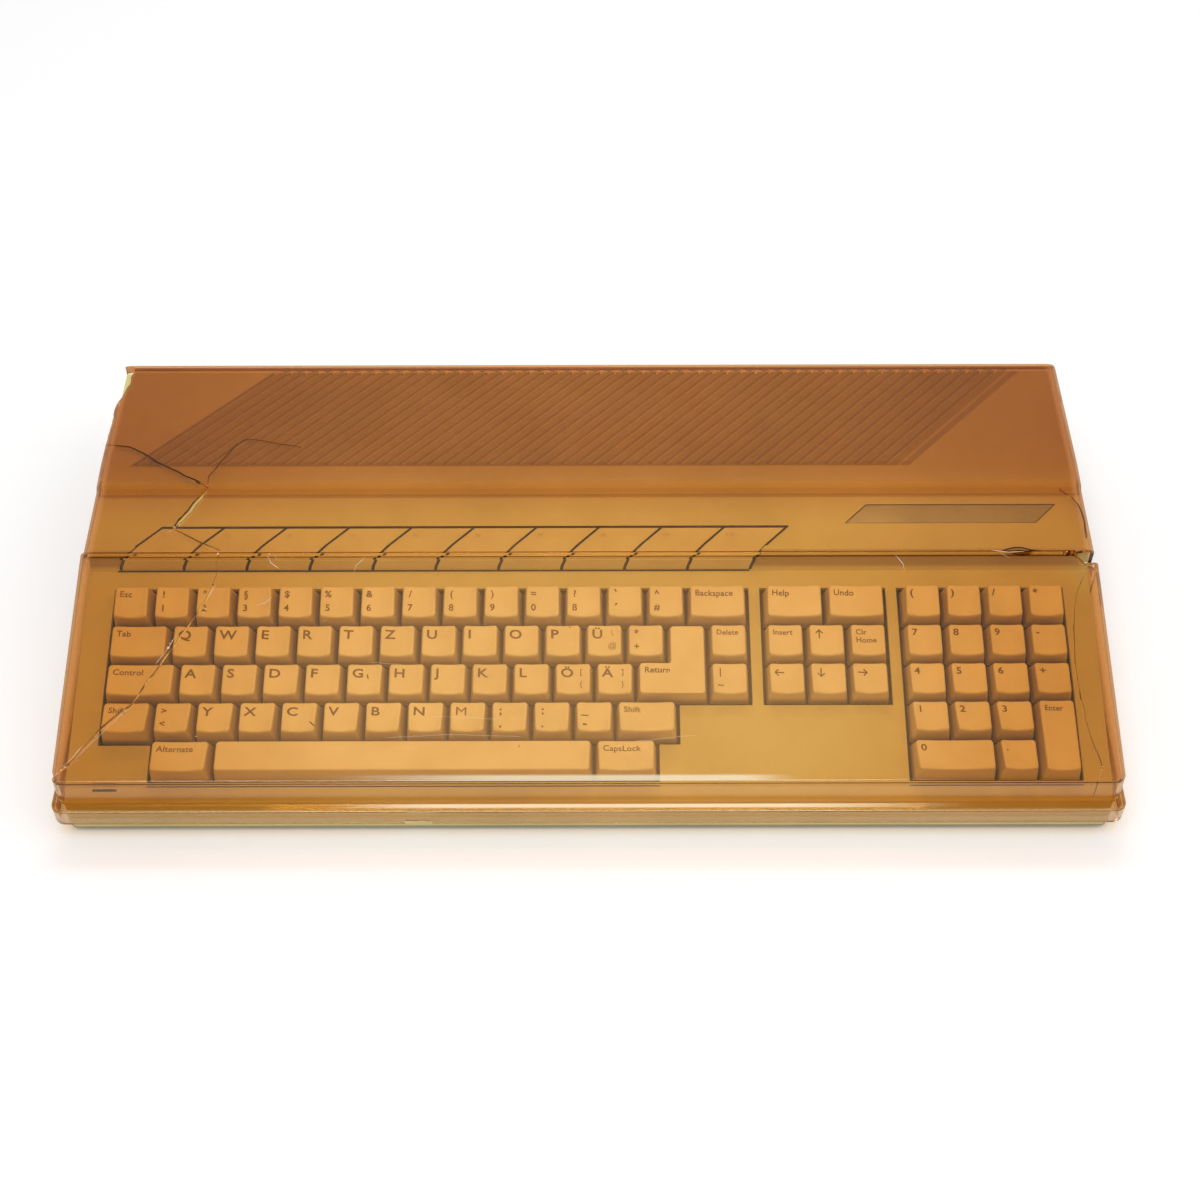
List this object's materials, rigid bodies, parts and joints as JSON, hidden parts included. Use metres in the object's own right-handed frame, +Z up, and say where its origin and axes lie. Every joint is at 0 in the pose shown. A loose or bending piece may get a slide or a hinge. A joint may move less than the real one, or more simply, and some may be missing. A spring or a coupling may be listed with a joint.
{
  "type": "home computer",
  "caption": "Wedge-shaped home computer with a built-in full keyboard, slanted function keys and a ribbed vent panel, under a cracked clear amber dust cover.",
  "frame": {"origin": "centre of the footprint, in the plane of the feet", "axes": "+X to the user's right along the width, +Y to the rear, +Z up"},
  "size_m": [0.4794, 0.2484, 0.0632],
  "materials": {
    "case_plastic": "fine matt moulded texture, aged",
    "cover_plastic": "clear amber-brown moulding, scratched",
    "key_plastic": "satin moulded plastic",
    "rubber": "matt",
    "screw_steel": "zinc plated",
    "badge_metal": "satin, bare",
    "lamp_plastic": "dark, unlit",
    "guide_plastic": "moulded",
    "sheet_plastic": "thin film",
    "board_laminate": "lacquered laminate",
    "shield_steel": "tinned sheet",
    "chip_plastic": "moulded resin",
    "connector_plastic": "moulded",
    "connector_steel": "nickel plated"
  },
  "bodies": {
    "base": {"top_case": "case_plastic", "bottom_case": "case_plastic", "rubber_feet": "rubber", "case_screws": "screw_steel", "badge_plate": "badge_metal", "power_led": "lamp_plastic", "keyboard_frame": "guide_plastic", "keyboard_spacers": "guide_plastic", "contact_sheet": "sheet_plastic", "keyboard_board": "board_laminate", "main_board": "board_laminate", "lower_shield": "shield_steel", "upper_shield": "shield_steel", "processor": "chip_plastic", "custom_chips": "chip_plastic", "memory_chips": "chip_plastic", "program_chips": "chip_plastic", "keyboard_link": "connector_plastic", "cartridge_slot": "connector_plastic", "power_switch": "connector_plastic", "reset_switch": "connector_plastic", "power_socket": "connector_plastic", "midi_out_socket": "connector_plastic", "midi_in_socket": "connector_plastic", "monitor_socket": "connector_plastic", "floppy_socket": "connector_plastic", "joystick_ports": "connector_steel", "printer_port": "connector_steel", "modem_port": "connector_steel", "hard_disk_port": "connector_steel"},
    "dust_cover": {"dust_cover": "cover_plastic"},
    "power_rocker": {"power_rocker": "connector_plastic"},
    "reset_button": {"reset_button": "connector_plastic"},
    "escape_key": {"escape_key": "key_plastic"},
    "backspace_key": {"backspace_key": "key_plastic"},
    "tab_key": {"tab_key": "key_plastic"},
    "control_key": {"control_key": "key_plastic"},
    "left_shift_key": {"left_shift_key": "key_plastic"},
    "right_shift_key": {"right_shift_key": "key_plastic"},
    "alternate_key": {"alternate_key": "key_plastic"},
    "caps_lock_key": {"caps_lock_key": "key_plastic"},
    "space_bar": {"space_bar": "key_plastic"},
    "return_key": {"return_key": "key_plastic"},
    "number_row_keys": {"number_row_keys": "key_plastic"},
    "upper_letter_keys": {"upper_letter_keys": "key_plastic"},
    "home_letter_keys": {"home_letter_keys": "key_plastic"},
    "lower_letter_keys": {"lower_letter_keys": "key_plastic"},
    "cursor_keys": {"cursor_keys": "key_plastic"},
    "keypad_keys": {"keypad_keys": "key_plastic"},
    "function_key_1": {"function_key_1": "key_plastic"},
    "function_key_2": {"function_key_2": "key_plastic"},
    "function_key_3": {"function_key_3": "key_plastic"},
    "function_key_4": {"function_key_4": "key_plastic"},
    "function_key_5": {"function_key_5": "key_plastic"},
    "function_key_6": {"function_key_6": "key_plastic"},
    "function_key_7": {"function_key_7": "key_plastic"},
    "function_key_8": {"function_key_8": "key_plastic"},
    "function_key_9": {"function_key_9": "key_plastic"},
    "function_key_10": {"function_key_10": "key_plastic"}
  },
  "joints": [
    {"name": "dust_cover_lift", "type": "slide", "parent": "base", "child": "dust_cover", "axis": [0, 0, 1], "range_m": [0, 0.12]},
    {"name": "power_rocker_turn", "type": "hinge", "parent": "base", "child": "power_rocker", "pos_m": [0.184, 0.1165, 0.0211], "axis": [1, 0, 0], "range_deg": [-18, 0]},
    {"name": "reset_button_press", "type": "slide", "parent": "base", "child": "reset_button", "axis": [0, -1, 0], "range_m": [0, 0.001], "stiffness_N_per_m": 300, "springref_m": -0.0005},
    {"name": "escape_key_press", "type": "slide", "parent": "base", "child": "escape_key", "axis": [0, 0.2622, -0.965], "range_m": [0, 0.0036], "stiffness_N_per_m": 110, "springref_m": -0.0016},
    {"name": "backspace_key_press", "type": "slide", "parent": "base", "child": "backspace_key", "axis": [0, 0.2622, -0.965], "range_m": [0, 0.0036], "stiffness_N_per_m": 110, "springref_m": -0.0016},
    {"name": "tab_key_press", "type": "slide", "parent": "base", "child": "tab_key", "axis": [0, 0.2622, -0.965], "range_m": [0, 0.0036], "stiffness_N_per_m": 110, "springref_m": -0.0016},
    {"name": "control_key_press", "type": "slide", "parent": "base", "child": "control_key", "axis": [0, 0.2622, -0.965], "range_m": [0, 0.0036], "stiffness_N_per_m": 110, "springref_m": -0.0016},
    {"name": "left_shift_key_press", "type": "slide", "parent": "base", "child": "left_shift_key", "axis": [0, 0.2622, -0.965], "range_m": [0, 0.0036], "stiffness_N_per_m": 110, "springref_m": -0.0016},
    {"name": "right_shift_key_press", "type": "slide", "parent": "base", "child": "right_shift_key", "axis": [0, 0.2622, -0.965], "range_m": [0, 0.0036], "stiffness_N_per_m": 110, "springref_m": -0.0016},
    {"name": "alternate_key_press", "type": "slide", "parent": "base", "child": "alternate_key", "axis": [0, 0.2622, -0.965], "range_m": [0, 0.0036], "stiffness_N_per_m": 110, "springref_m": -0.0016},
    {"name": "caps_lock_key_press", "type": "slide", "parent": "base", "child": "caps_lock_key", "axis": [0, 0.2622, -0.965], "range_m": [0, 0.0036], "stiffness_N_per_m": 110, "springref_m": -0.0016},
    {"name": "space_bar_press", "type": "slide", "parent": "base", "child": "space_bar", "axis": [0, 0.2622, -0.965], "range_m": [0, 0.0036], "stiffness_N_per_m": 330, "springref_m": -0.0016},
    {"name": "return_key_press", "type": "slide", "parent": "base", "child": "return_key", "axis": [0, 0.2622, -0.965], "range_m": [0, 0.0036], "stiffness_N_per_m": 220, "springref_m": -0.0016},
    {"name": "number_row_keys_press", "type": "slide", "parent": "base", "child": "number_row_keys", "axis": [0, 0.2622, -0.965], "range_m": [0, 0.0036], "stiffness_N_per_m": 1430, "springref_m": -0.0016},
    {"name": "upper_letter_keys_press", "type": "slide", "parent": "base", "child": "upper_letter_keys", "axis": [0, 0.2622, -0.965], "range_m": [0, 0.0036], "stiffness_N_per_m": 1430, "springref_m": -0.0016},
    {"name": "home_letter_keys_press", "type": "slide", "parent": "base", "child": "home_letter_keys", "axis": [0, 0.2622, -0.965], "range_m": [0, 0.0036], "stiffness_N_per_m": 1320, "springref_m": -0.0016},
    {"name": "lower_letter_keys_press", "type": "slide", "parent": "base", "child": "lower_letter_keys", "axis": [0, 0.2622, -0.965], "range_m": [0, 0.0036], "stiffness_N_per_m": 1210, "springref_m": -0.0016},
    {"name": "cursor_keys_press", "type": "slide", "parent": "base", "child": "cursor_keys", "axis": [0, 0.2622, -0.965], "range_m": [0, 0.0036], "stiffness_N_per_m": 880, "springref_m": -0.0016},
    {"name": "keypad_keys_press", "type": "slide", "parent": "base", "child": "keypad_keys", "axis": [0, 0.2622, -0.965], "range_m": [0, 0.0036], "stiffness_N_per_m": 1980, "springref_m": -0.0016},
    {"name": "function_key_1_press", "type": "slide", "parent": "base", "child": "function_key_1", "axis": [0, 0, -1], "range_m": [0, 0.003], "stiffness_N_per_m": 150, "springref_m": -0.0014},
    {"name": "function_key_2_press", "type": "slide", "parent": "base", "child": "function_key_2", "axis": [0, 0, -1], "range_m": [0, 0.003], "stiffness_N_per_m": 150, "springref_m": -0.0014},
    {"name": "function_key_3_press", "type": "slide", "parent": "base", "child": "function_key_3", "axis": [0, 0, -1], "range_m": [0, 0.003], "stiffness_N_per_m": 150, "springref_m": -0.0014},
    {"name": "function_key_4_press", "type": "slide", "parent": "base", "child": "function_key_4", "axis": [0, 0, -1], "range_m": [0, 0.003], "stiffness_N_per_m": 150, "springref_m": -0.0014},
    {"name": "function_key_5_press", "type": "slide", "parent": "base", "child": "function_key_5", "axis": [0, 0, -1], "range_m": [0, 0.003], "stiffness_N_per_m": 150, "springref_m": -0.0014},
    {"name": "function_key_6_press", "type": "slide", "parent": "base", "child": "function_key_6", "axis": [0, 0, -1], "range_m": [0, 0.003], "stiffness_N_per_m": 150, "springref_m": -0.0014},
    {"name": "function_key_7_press", "type": "slide", "parent": "base", "child": "function_key_7", "axis": [0, 0, -1], "range_m": [0, 0.003], "stiffness_N_per_m": 150, "springref_m": -0.0014},
    {"name": "function_key_8_press", "type": "slide", "parent": "base", "child": "function_key_8", "axis": [0, 0, -1], "range_m": [0, 0.003], "stiffness_N_per_m": 150, "springref_m": -0.0014},
    {"name": "function_key_9_press", "type": "slide", "parent": "base", "child": "function_key_9", "axis": [0, 0, -1], "range_m": [0, 0.003], "stiffness_N_per_m": 150, "springref_m": -0.0014},
    {"name": "function_key_10_press", "type": "slide", "parent": "base", "child": "function_key_10", "axis": [0, 0, -1], "range_m": [0, 0.003], "stiffness_N_per_m": 150, "springref_m": -0.0014}
  ]
}
